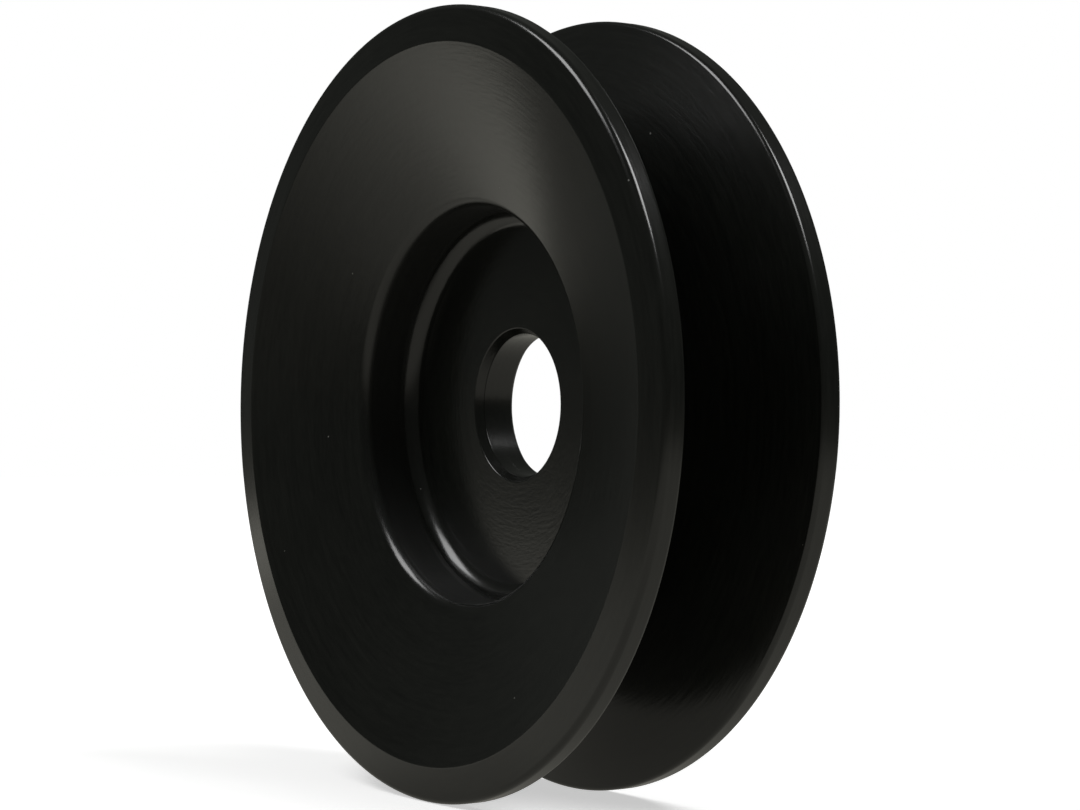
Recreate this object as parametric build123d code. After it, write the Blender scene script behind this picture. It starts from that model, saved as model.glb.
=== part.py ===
from build123d import *
import os
from math import cos, radians, tan

# A single-groove V-belt pulley in two steel halves that lie web to web and are welded
# through the web. The shaft axis is Y, the open cup faces -Y and +Z is up. The origin is
# on the axis, in the groove's centre plane, where belt alignment is measured from.

# Groove and rims, mm and degrees
rim_radius = 46.0
groove_top_width = 18.4
groove_angle = 36.0
flank_wall = 4.1
rim_face_width = 4.2
rim_face_tilt = 6.0
rim_face_rounding = 0.6
rim_edge_rounding = 0.75
groove_edge_rounding = 0.6

# Webs, cup and bore
seam_offset = 3.8
web_wall = 2.75
cup_radius = 23.2
cup_wall = 3.5
cup_mouth_rounding = 1.5
cup_floor_fillet = 2.2
cup_heel_rounding = 3.0
groove_root_fillet = 1.0
web_bend_rounding = 3.0
bore_radius = 8.5
bore_chamfer = 0.6
bore_lead_in = 1.0

# Welds between the webs
weld_count = 6
nugget_radius = 2.5
nugget_depth = 0.9

# Slopes, and the planes that follow from the sizes above
flank_slope = tan(radians(groove_angle / 2))
rim_face_slope = tan(radians(rim_face_tilt))
flank_axial_wall = flank_wall / cos(radians(groove_angle / 2))
rim_thickness = flank_axial_wall - rim_face_width * (flank_slope + rim_face_slope)
rim_edge_offset = groove_top_width / 2 + rim_thickness
ridge_radius = rim_radius - rim_face_width
ridge_offset = rim_edge_offset + rim_face_width * rim_face_slope
root_radius = cup_radius + cup_wall
floor_offset = seam_offset - web_wall
back_offset = seam_offset + web_wall
weld_circle_radius = (bore_radius + cup_radius - cup_floor_fillet) / 2


def flank_offset(radius):
    """Distance of a groove flank from the centre plane."""
    return groove_top_width / 2 - (rim_radius - radius) * flank_slope


def flank_radius(offset):
    """Radius at which a groove flank is that far from the centre plane."""
    return rim_radius - (groove_top_width / 2 - offset) / flank_slope


def dish_offset(radius):
    """Distance of a half's outer cone from the centre plane."""
    return ridge_offset - (ridge_radius - radius) * flank_slope


def dish_radius(offset):
    """Radius at which a half's outer cone is that far from the centre plane."""
    return ridge_radius - (ridge_offset - offset) / flank_slope


def turned(corners):
    """Body of revolution about Y, from (radius, y, rounding) corners of its section."""
    section = make_face(Polyline([(radius, y) for radius, y, _ in corners], close=True))
    for radius, y, rounding in corners:
        if rounding:
            corner = section.vertices().sort_by_distance((radius, y, 0))[0]
            section = fillet(corner, rounding)
    return revolve(section, Axis.Y)


def rim(side):
    """Corners of a rim, from its outer face to its flank. side is -1 in front, 1 behind."""
    return [
        (ridge_radius, side * ridge_offset, rim_face_rounding),
        (rim_radius, side * rim_edge_offset, rim_edge_rounding),
        (rim_radius, side * groove_top_width / 2, groove_edge_rounding),
    ]


def front_half():
    """The half with the cup, whose outer wall is the root of the groove."""
    return turned(
        [
            (bore_radius, floor_offset + bore_lead_in, 0),
            (bore_radius + bore_chamfer, floor_offset, 0),
            (cup_radius, floor_offset, cup_floor_fillet),
            (cup_radius, -dish_offset(cup_radius), cup_mouth_rounding),
            *rim(-1),
            (root_radius, -flank_offset(root_radius), groove_root_fillet),
            (root_radius, seam_offset, cup_heel_rounding),
            (bore_radius, seam_offset, 0),
        ]
    )


def rear_half():
    """The shallow half, with a flat web and one bend out to its flank."""
    return turned(
        [
            (bore_radius, back_offset - bore_chamfer, 0),
            (bore_radius + bore_chamfer, back_offset, 0),
            (dish_radius(back_offset), back_offset, web_bend_rounding),
            *rim(1),
            (flank_radius(seam_offset), seam_offset, web_bend_rounding),
            (bore_radius, seam_offset, 0),
        ]
    )


def nugget():
    """One weld nugget: a lens, half of it in each web."""
    ball_radius = (nugget_radius**2 + nugget_depth**2) / (2 * nugget_depth)
    shift = ball_radius - nugget_depth
    return Pos(0, -shift, 0) * Sphere(ball_radius) & Pos(0, shift, 0) * Sphere(ball_radius)


def weld_places():
    """Centres of the nuggets, evenly round the web in the plane where the halves meet."""
    centre = Pos(weld_circle_radius, seam_offset, 0)
    return [Rot(0, 360 * turn / weld_count, 0) * centre for turn in range(weld_count)]


nuggets = [place * nugget() for place in weld_places()]
front = front_half() - nuggets
rear = rear_half() - nuggets

os.makedirs("parts", exist_ok=True)
export_step(front, "parts/front_half.step")
export_step(rear, "parts/rear_half.step")
export_step(Compound(children=nuggets), "parts/weld_nuggets.step")
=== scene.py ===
import math

import bpy
from mathutils import Matrix, Vector


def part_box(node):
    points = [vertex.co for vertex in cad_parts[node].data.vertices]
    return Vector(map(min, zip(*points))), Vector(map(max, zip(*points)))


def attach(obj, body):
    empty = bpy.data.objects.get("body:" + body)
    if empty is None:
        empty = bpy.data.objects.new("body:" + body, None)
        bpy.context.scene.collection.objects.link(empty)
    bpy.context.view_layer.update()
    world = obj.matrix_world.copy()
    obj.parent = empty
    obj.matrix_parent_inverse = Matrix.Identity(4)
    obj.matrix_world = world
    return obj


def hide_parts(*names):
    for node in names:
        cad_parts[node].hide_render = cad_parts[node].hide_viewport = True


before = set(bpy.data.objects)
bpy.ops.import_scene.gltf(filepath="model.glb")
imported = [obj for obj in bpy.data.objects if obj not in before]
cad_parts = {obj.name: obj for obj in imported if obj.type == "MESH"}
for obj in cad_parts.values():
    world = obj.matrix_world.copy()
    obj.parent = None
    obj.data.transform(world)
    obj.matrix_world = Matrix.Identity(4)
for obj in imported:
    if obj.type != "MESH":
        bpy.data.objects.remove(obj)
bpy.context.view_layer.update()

MM = 0.001

# ---- Sizes of the two halves: the same driving dimensions as the CAD model ----------------
RIM_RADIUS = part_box("front_half")[1].x
SEAM_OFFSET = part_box("front_half")[1].y
GROOVE_TOP_WIDTH = 18.4 * MM
FLANK_ANGLE = math.radians(36.0 / 2)
FLANK_WALL = 4.1 * MM
RIM_FACE_WIDTH = 4.2 * MM
RIM_FACE_TILT = math.radians(6.0)
RIM_FACE_ROUNDING = 0.6 * MM
RIM_EDGE_ROUNDING = 0.75 * MM
GROOVE_EDGE_ROUNDING = 0.6 * MM
GROOVE_ROOT_FILLET = 1.0 * MM
WEB_WALL = 2.75 * MM
WEB_BEND_ROUNDING = 3.0 * MM
CUP_RADIUS = 23.2 * MM
CUP_WALL = 3.5 * MM
CUP_MOUTH_ROUNDING = 1.5 * MM
CUP_FLOOR_FILLET = 2.2 * MM
CUP_HEEL_ROUNDING = 3.0 * MM
BORE_RADIUS = 8.5 * MM
BORE_CHAMFER = 0.6 * MM
BORE_LEAD_IN = 1.0 * MM  # axial length of the front chamfer
CHAMFER_BREAK = 0.2 * MM
BORE_EDGE_BREAK = 0.25 * MM
SHARP = 0.01 * MM  # every corner is an arc, so a sharp one is a tiny arc

FLANK_SLOPE = math.tan(FLANK_ANGLE)
RIM_THICKNESS = (FLANK_WALL / math.cos(FLANK_ANGLE)
                 - RIM_FACE_WIDTH * (FLANK_SLOPE + math.tan(RIM_FACE_TILT)))
RIM_EDGE_OFFSET = GROOVE_TOP_WIDTH / 2 + RIM_THICKNESS
RIDGE_RADIUS = RIM_RADIUS - RIM_FACE_WIDTH
RIDGE_OFFSET = RIM_EDGE_OFFSET + RIM_FACE_WIDTH * math.tan(RIM_FACE_TILT)
ROOT_RADIUS = CUP_RADIUS + CUP_WALL
FLOOR_OFFSET = SEAM_OFFSET - WEB_WALL
BACK_OFFSET = SEAM_OFFSET + WEB_WALL

SEGMENTS = 360
ARC_STEPS = 12


# ---- Turned sections ----------------------------------------------------------------------
def flank_offset(radius):
    """Distance of a groove flank from the groove's centre plane."""
    return GROOVE_TOP_WIDTH / 2 - (RIM_RADIUS - radius) * FLANK_SLOPE


def flank_radius(offset):
    return RIM_RADIUS - (GROOVE_TOP_WIDTH / 2 - offset) / FLANK_SLOPE


def dish_offset(radius):
    """Distance of a dished outer face from the groove's centre plane."""
    return RIDGE_OFFSET - (RIDGE_RADIUS - radius) * FLANK_SLOPE


def dish_radius(offset):
    return RIDGE_RADIUS - (RIDGE_OFFSET - offset) / FLANK_SLOPE


def rim_corners(side):
    """The faced outer ring, the land and the groove's edge, on one side of the groove."""
    return [
        (RIDGE_RADIUS, side * RIDGE_OFFSET, RIM_FACE_ROUNDING),
        (RIM_RADIUS, side * RIM_EDGE_OFFSET, RIM_EDGE_ROUNDING),
        (RIM_RADIUS, side * GROOVE_TOP_WIDTH / 2, GROOVE_EDGE_ROUNDING),
    ]


def front_corners():
    """Radius, y and rounding of each corner of the front half's section."""
    return [
        (BORE_RADIUS, FLOOR_OFFSET + BORE_LEAD_IN, BORE_EDGE_BREAK),
        (BORE_RADIUS + BORE_CHAMFER, FLOOR_OFFSET, CHAMFER_BREAK),
        (CUP_RADIUS, FLOOR_OFFSET, CUP_FLOOR_FILLET),
        (CUP_RADIUS, -dish_offset(CUP_RADIUS), CUP_MOUTH_ROUNDING),
        *rim_corners(-1),
        (ROOT_RADIUS, -flank_offset(ROOT_RADIUS), GROOVE_ROOT_FILLET),
        (ROOT_RADIUS, SEAM_OFFSET, CUP_HEEL_ROUNDING),
        (BORE_RADIUS, SEAM_OFFSET, SHARP),
    ]


def rear_corners():
    """Radius, y and rounding of each corner of the rear half's section."""
    return [
        (BORE_RADIUS, SEAM_OFFSET, SHARP),
        (flank_radius(SEAM_OFFSET), SEAM_OFFSET, WEB_BEND_ROUNDING),
        *reversed(rim_corners(1)),
        (dish_radius(BACK_OFFSET), BACK_OFFSET, WEB_BEND_ROUNDING),
        (BORE_RADIUS + BORE_CHAMFER, BACK_OFFSET, CHAMFER_BREAK),
        (BORE_RADIUS, BACK_OFFSET - BORE_CHAMFER, CHAMFER_BREAK),
    ]


def rounded(corners):
    """Points and unit arms of a closed section in (radius, y), with every corner an arc."""
    line = []
    for i, (radius, offset, rounding) in enumerate(corners):
        here = Vector((radius, offset))
        before = (Vector(corners[i - 1][:2]) - here).normalized()
        after = (Vector(corners[(i + 1) % len(corners)][:2]) - here).normalized()
        half = before.angle(after) / 2
        reach = rounding / math.tan(half)
        middle = here + (before + after).normalized() * (rounding / math.sin(half))
        start = here + before * reach - middle
        turn = start.angle_signed(here + after * reach - middle)
        for step in range(ARC_STEPS + 1):
            angle = -turn * step / ARC_STEPS
            c, s = math.cos(angle), math.sin(angle)
            arm = Vector((start.x * c - start.y * s, start.x * s + start.y * c))
            line.append((middle + arm, arm.normalized()))
    return line


def outward(line):
    """Unit normals of the section: each arm turned, where needed, out of the metal."""
    normals = []
    for i, (point, arm) in enumerate(line):
        ahead = (line[(i + 1) % len(line)][0] - point).normalized()
        behind = (point - line[i - 1][0]).normalized()
        along = ahead + behind
        normals.append(arm if arm.dot(Vector((along.y, -along.x))) > 0 else -arm)
    return normals


def lathe(name, corners):
    """A closed body of revolution about Y, with the section's exact normals."""
    line = rounded(corners)
    section_normals = outward(line)
    count = len(line)
    points, normals, faces = [], [], []
    for j in range(SEGMENTS):
        angle = 2 * math.pi * j / SEGMENTS
        c, s = math.cos(angle), math.sin(angle)
        for (point, _), normal in zip(line, section_normals):
            points.append((point.x * c, point.y, point.x * s))
            normals.append((normal.x * c, normal.y, normal.x * s))
        here, there = j * count, (j + 1) % SEGMENTS * count
        for i in range(count):
            k = (i + 1) % count
            faces.append((here + i, here + k, there + k, there + i))
    mesh = bpy.data.meshes.new(name)
    mesh.from_pydata(points, [], faces)
    mesh.polygons.foreach_set("use_smooth", [True] * len(faces))
    mesh.normals_split_custom_set_from_vertices(normals)
    body = bpy.data.objects.new(name, mesh)
    bpy.context.scene.collection.objects.link(body)
    return body


# ---- Shader building blocks ---------------------------------------------------------------
def new_material(name):
    material = bpy.data.materials.new(name)
    material.use_nodes = True
    return material, material.node_tree, material.node_tree.nodes["Principled BSDF"]


def add(tree, kind, *values, **settings):
    """A node whose inputs, in order, are given as sockets or plain values; None skips one."""
    node = tree.nodes.new(kind)
    for key, value in settings.items():
        setattr(node, key, value)
    for socket, value in zip(node.inputs, values):
        plug(tree, socket, value)
    return node


def plug(tree, socket, value):
    """Links or sets an input; None leaves it as it is."""
    if isinstance(value, bpy.types.NodeSocket):
        tree.links.new(value, socket)
    elif value is not None:
        socket.default_value = value


def maths(tree, operation, *values):
    return add(tree, "ShaderNodeMath", *values, operation=operation).outputs[0]


def vector_maths(tree, operation, *values):
    node = add(tree, "ShaderNodeVectorMath", *values, operation=operation)
    return node.outputs["Value" if operation in ("LENGTH", "DISTANCE") else "Vector"]


def total(tree, start, *parts):
    """The start value plus every part, a (socket, weight) pair."""
    for socket, weight in parts:
        start = maths(tree, "MULTIPLY_ADD", socket, weight, start)
    return start


def noise(tree, vector, scale, detail=2.0, roughness=0.5, w=None):
    """Smooth noise of 0 to 1, in three dimensions, or in four where w is given."""
    node = add(tree, "ShaderNodeTexNoise", noise_dimensions="3D" if w is None else "4D")
    plug(tree, node.inputs["Vector"], vector)
    plug(tree, node.inputs["Scale"], scale)
    plug(tree, node.inputs["Detail"], detail)
    plug(tree, node.inputs["Roughness"], roughness)
    if w is not None:
        plug(tree, node.inputs["W"], w)
    return node.outputs["Fac"]


def remap(tree, value, span, to, smooth=False):
    """Maps the two ends of span to the two values of to, and clamps beyond them."""
    node = add(tree, "ShaderNodeMapRange", value, *span, *to)
    node.interpolation_type = "SMOOTHSTEP" if smooth else "LINEAR"
    return node.outputs["Result"]


def blend_colour(tree, factor, first, second):
    node = add(tree, "ShaderNodeMix", data_type="RGBA")
    plug(tree, node.inputs["Factor"], factor)
    plug(tree, node.inputs["A"], first)
    plug(tree, node.inputs["B"], second)
    return node.outputs["Result"]


def bump(tree, height, depth, normal=None):
    """A bump whose height of 0 to 1 stands for depth metres."""
    node = add(tree, "ShaderNodeBump")
    plug(tree, node.inputs["Distance"], depth)
    plug(tree, node.inputs["Height"], height)
    plug(tree, node.inputs["Normal"], normal)
    return node.outputs["Normal"]


def object_point(tree):
    return add(tree, "ShaderNodeTexCoord").outputs["Object"]


def millimetres(tree):
    """The surface point in millimetres."""
    return vector_maths(tree, "MULTIPLY", object_point(tree), (1 / MM, 1 / MM, 1 / MM))


def across_axis(tree, point):
    """The point's arm from the Y axis."""
    return vector_maths(tree, "MULTIPLY", point, (1, 0, 1))


def along_axis(tree, point):
    return add(tree, "ShaderNodeSeparateXYZ", point).outputs["Y"]


def turned_rings(tree, point, pitch, drift):
    """Noise that runs in rings about Y: it changes every pitch mm in the section, and each
    ring fades over about 1/drift of a radian."""
    arm = across_axis(tree, point)
    compass = add(tree, "ShaderNodeSeparateXYZ", vector_maths(tree, "NORMALIZE", arm))
    where = add(
        tree, "ShaderNodeCombineXYZ",
        maths(tree, "DIVIDE", vector_maths(tree, "LENGTH", arm), pitch),
        maths(tree, "DIVIDE", along_axis(tree, point), pitch),
        maths(tree, "MULTIPLY", compass.outputs["X"], drift),
    ).outputs[0]
    around = maths(tree, "MULTIPLY", compass.outputs["Z"], drift)
    return noise(tree, where, scale=1.0, w=around)


# ---- Materials: noise scales are per millimetre, and depths are metres --------------------
COAT_DARK = (0.0032, 0.0037, 0.0030, 1)
COAT_PALE = (0.0094, 0.0101, 0.0086, 1)
COAT_ROUGHNESS = 0.155
COAT_IOR = 1.5
CUP_WALL_DULLNESS = 0.42
DUST_GREY = (0.16, 0.16, 0.15, 1)
DUST_DULLNESS = 0.4
PEEL_DEPTH = 0.0035 * MM
RING_DEPTH = 0.0045 * MM
FINE_RING_DEPTH = 0.0105 * MM
GRAIN_DEPTH = 0.0010 * MM
WELD_PALE = (0.30, 0.29, 0.28, 1)
WELD_TINT = (0.17, 0.15, 0.17, 1)
WELD_GRAIN_DEPTH = 0.02 * MM
NOISE_MIDDLE = (0.35, 0.65)  # the part of a noise's range that is stretched to 0 to 1


def black_coating():
    """Thin satin black coat on turned steel: faint turning rings and a fine orange peel."""
    material, tree, shader = new_material("black_coating")
    point = millimetres(tree)
    cloud = noise(tree, point, scale=0.05, detail=3.0)
    grain = noise(tree, point, scale=2.2, detail=3.0, roughness=0.6)
    peel = noise(tree, point, scale=0.9)
    rings = turned_rings(tree, point, pitch=0.55, drift=2.0)
    fine_rings = turned_rings(tree, point, pitch=0.36, drift=14.0)
    dust = dust_specks(tree, point)

    tone = total(tree, 0.0, (cloud, 0.3), (rings, 0.3), (fine_rings, 0.4))
    tone = remap(tree, tone, NOISE_MIDDLE, (0.0, 1.0))
    coat = blend_colour(tree, tone, COAT_DARK, COAT_PALE)
    plug(tree, shader.inputs["Base Color"], blend_colour(tree, dust, coat, DUST_GREY))

    dullness = total(tree, COAT_ROUGHNESS, (grain, 0.05), (cloud, 0.04), (dust, DUST_DULLNESS),
                     (cup_wall(tree, point), CUP_WALL_DULLNESS))
    plug(tree, shader.inputs["Roughness"], dullness)
    plug(tree, shader.inputs["IOR"], COAT_IOR)

    normal = None
    for height, depth in ((peel, PEEL_DEPTH), (rings, RING_DEPTH),
                          (fine_rings, FINE_RING_DEPTH), (grain, GRAIN_DEPTH)):
        normal = bump(tree, height, depth, normal)
    plug(tree, shader.inputs["Normal"], normal)
    return material


def cup_wall(tree, point):
    """A mask of the cup's wall that fades in below its mouth and out above its floor fillet."""
    mouth = -dish_offset(CUP_RADIUS) / MM
    foot = (FLOOR_OFFSET - CUP_FLOOR_FILLET) / MM
    wall = CUP_RADIUS / MM
    y = along_axis(tree, point)
    radius = vector_maths(tree, "LENGTH", across_axis(tree, point))
    deep = remap(tree, y, (mouth - 0.2, mouth + 1.4), (0.0, 1.0), smooth=True)
    above = remap(tree, y, (foot - 0.2, foot + 1.0), (1.0, 0.0), smooth=True)
    within = remap(tree, radius, (wall + 0.1, wall + 0.9), (1.0, 0.0))
    return maths(tree, "MULTIPLY", maths(tree, "MULTIPLY", deep, above), within)


def dust_specks(tree, point):
    """A mask of rare specks about 0.2 mm across, in one of seven cells that are 3 mm wide."""
    cells_per_mm = 0.35
    speck_edge = (0.026, 0.044)
    rarity = 0.86
    cells = add(tree, "ShaderNodeTexVoronoi")
    plug(tree, cells.inputs["Vector"], point)
    plug(tree, cells.inputs["Scale"], cells_per_mm)
    near = remap(tree, cells.outputs["Distance"], speck_edge, (1.0, 0.0))
    chosen = add(tree, "ShaderNodeSeparateColor", cells.outputs["Color"]).outputs["Red"]
    return maths(tree, "MULTIPLY", near, maths(tree, "GREATER_THAN", chosen, rarity))


def weld_steel():
    """Bare fused steel of the weld nuggets, with heat tints and a cast grain."""
    material, tree, shader = new_material("weld_steel")
    point = millimetres(tree)
    grain = noise(tree, point, scale=3.0, detail=4.0, roughness=0.65)
    tint = remap(tree, noise(tree, point, scale=0.7), NOISE_MIDDLE, (0.0, 1.0), smooth=True)
    plug(tree, shader.inputs["Base Color"], blend_colour(tree, tint, WELD_PALE, WELD_TINT))
    plug(tree, shader.inputs["Metallic"], 1.0)
    plug(tree, shader.inputs["Roughness"], remap(tree, grain, (0.2, 0.8), (0.32, 0.55)))
    plug(tree, shader.inputs["Normal"], bump(tree, grain, WELD_GRAIN_DEPTH))
    return material


# ---- Pieces -------------------------------------------------------------------------------
def coated_half(node, corners, material):
    """Turns one half anew, with smooth roundings, in place of its CAD node."""
    piece = lathe(node + "_turned", corners)
    piece.data.materials.append(material)
    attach(piece, "root")
    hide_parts(node)


def dress(node, material):
    """Gives a CAD node its material, keeping its shape."""
    for slot in bpy.data.objects[node].material_slots:
        slot.material = material


coating = black_coating()
coated_half("front_half", front_corners(), coating)
coated_half("rear_half", rear_corners(), coating)
dress("weld_nuggets", weld_steel())

# ---- Studio: metres and degrees, and strengths as radiance --------------------------------
WHITE = (1.0, 1.0, 1.0, 1.0)
LIGHT_DISTANCE = 0.9
LIGHT_ROLL = 45
ROOM_COLOUR = (0.96, 1.0, 0.92, 1.0)
ROOM_STRENGTH = 0.07
FLOOR_SIDE = 6.0
FLOOR_PAINT = (0.9, 0.9, 0.9, 1)
BOUNCE_COLOUR = (1.0, 0.98, 0.87, 1)
# Where a painted pool of light lies on the floor, to the pulley's front left.
PAINTED_POOL_AZIMUTH = -66
PAINTED_POOL_DISTANCE = 0.5
# Each fade is a pair of distances and the pair of strengths that belong to them.
BACKDROP_FADE = ((0.10, 0.60), (0.55, 1.10))
BOUNCE_FADE = ((0.12, 0.44), (0.45, 0.10))
# Painted shadow: the floor's bounce glow is made weaker right under the pulley.
UNDERSIDE_PAINTED_SHADOW = ((0.00, 0.05), (0.50, 1.00))
# Painted light: the floor's bounce glow is made brighter round that spot on the floor.
PAINTED_POOL_FADE = ((0.10, 0.30), (0.70, 0.00))
SENSOR_WIDTH = 36
FOCAL_LENGTH = 83.98
CAMERA_PLACE = Vector((5.388, -3.607, -0.111)) * RIM_RADIUS
CAMERA_AZIMUTH = 55.494
CAMERA_ELEVATION = -0.981


def heading(azimuth, elevation):
    """Unit direction from the pulley: azimuth 0 is in front of the open cup, -Y."""
    a, e = math.radians(azimuth), math.radians(elevation)
    return Vector((math.sin(a) * math.cos(e), -math.cos(a) * math.cos(e), math.sin(e)))


def facing(azimuth, elevation):
    """Rotation of a lamp or camera that stands at a heading and looks back along it."""
    return heading(azimuth, elevation).to_track_quat("Z", "Y").to_matrix()


def softbox(name, azimuth, elevation, span, radiance):
    """A square soft lamp that faces the pulley; span is the angle it covers."""
    light = bpy.data.lights.new(name, "AREA")
    light.shape = "SQUARE"
    light.size = 2 * LIGHT_DISTANCE * math.tan(math.radians(span / 2))
    light.energy = math.pi * light.size * light.size * radiance
    lamp = bpy.data.objects.new(name, light)
    lamp.location = heading(azimuth, elevation) * LIGHT_DISTANCE
    roll = Matrix.Rotation(math.radians(LIGHT_ROLL), 3, "Z")
    lamp.rotation_euler = (facing(azimuth, elevation) @ roll).to_euler()
    lamp.visible_camera = False
    bpy.context.scene.collection.objects.link(lamp)


def seen_or(tree, seen, otherwise):
    """Shader that the camera sees as one thing and the object is lit by as another."""
    camera_ray = add(tree, "ShaderNodeLightPath").outputs["Is Camera Ray"]
    return add(tree, "ShaderNodeMixShader", camera_ray, otherwise, seen).outputs[0]


def studio_world():
    """A white backdrop for the camera, and a dim greenish room for the reflections."""
    world = bpy.data.worlds.new("studio")
    bpy.context.scene.world = world
    world.use_nodes = True
    tree = world.node_tree
    backdrop = add(tree, "ShaderNodeBackground", WHITE, 1.0).outputs[0]
    room = add(tree, "ShaderNodeBackground", ROOM_COLOUR, ROOM_STRENGTH).outputs[0]
    tree.links.new(seen_or(tree, backdrop, room), tree.nodes["World Output"].inputs["Surface"])


def floor_glow(tree, place):
    """Painted bounce light that the object gets from the floor: weaker far away, with a painted
    shadow under the pulley and a painted pool of light on the floor to its front left."""
    away = vector_maths(tree, "LENGTH", place)
    pool_centre = heading(PAINTED_POOL_AZIMUTH, 0) * PAINTED_POOL_DISTANCE
    painted_pool = vector_maths(tree, "DISTANCE", place, tuple(pool_centre))
    return maths(
        tree, "MULTIPLY_ADD",
        remap(tree, away, *BOUNCE_FADE, smooth=True),
        remap(tree, away, *UNDERSIDE_PAINTED_SHADOW, smooth=True),
        remap(tree, painted_pool, *PAINTED_POOL_FADE, smooth=True),
    )


def floor_paint():
    """Pale paint that takes the shadow and fades into the white backdrop."""
    material, tree, shader = new_material("floor")
    tree.nodes.remove(shader)
    place = object_point(tree)
    lit = add(tree, "ShaderNodeBsdfDiffuse", FLOOR_PAINT).outputs[0]
    fade = remap(tree, vector_maths(tree, "LENGTH", place), *BACKDROP_FADE)
    glow = add(tree, "ShaderNodeEmission", WHITE, fade).outputs[0]
    seen = add(tree, "ShaderNodeAddShader", lit, glow).outputs[0]
    bounce = add(tree, "ShaderNodeEmission", BOUNCE_COLOUR, floor_glow(tree, place)).outputs[0]
    output = tree.nodes["Material Output"]
    tree.links.new(seen_or(tree, seen, bounce), output.inputs["Surface"])
    return material


def pale_floor():
    """A square floor that the rim stands on."""
    half = FLOOR_SIDE / 2
    mesh = bpy.data.meshes.new("floor")
    mesh.from_pydata([(-half, -half, 0), (half, -half, 0), (half, half, 0), (-half, half, 0)],
                     [], [(0, 1, 2, 3)])
    mesh.materials.append(floor_paint())
    floor = bpy.data.objects.new("floor", mesh)
    floor.location.z = -RIM_RADIUS
    bpy.context.scene.collection.objects.link(floor)


def camera():
    lens = bpy.data.cameras.new("camera")
    lens.sensor_width = SENSOR_WIDTH
    lens.lens = FOCAL_LENGTH
    body = bpy.data.objects.new("camera", lens)
    body.location = CAMERA_PLACE
    body.rotation_euler = facing(CAMERA_AZIMUTH, CAMERA_ELEVATION).to_euler()
    bpy.context.scene.collection.objects.link(body)
    bpy.context.scene.camera = body


softbox("key", azimuth=-25, elevation=51.5, span=26, radiance=6.8)
softbox("side", azimuth=114, elevation=55, span=25, radiance=9.8)
studio_world()
pale_floor()
camera()
bpy.context.scene.view_settings.view_transform = "Standard"
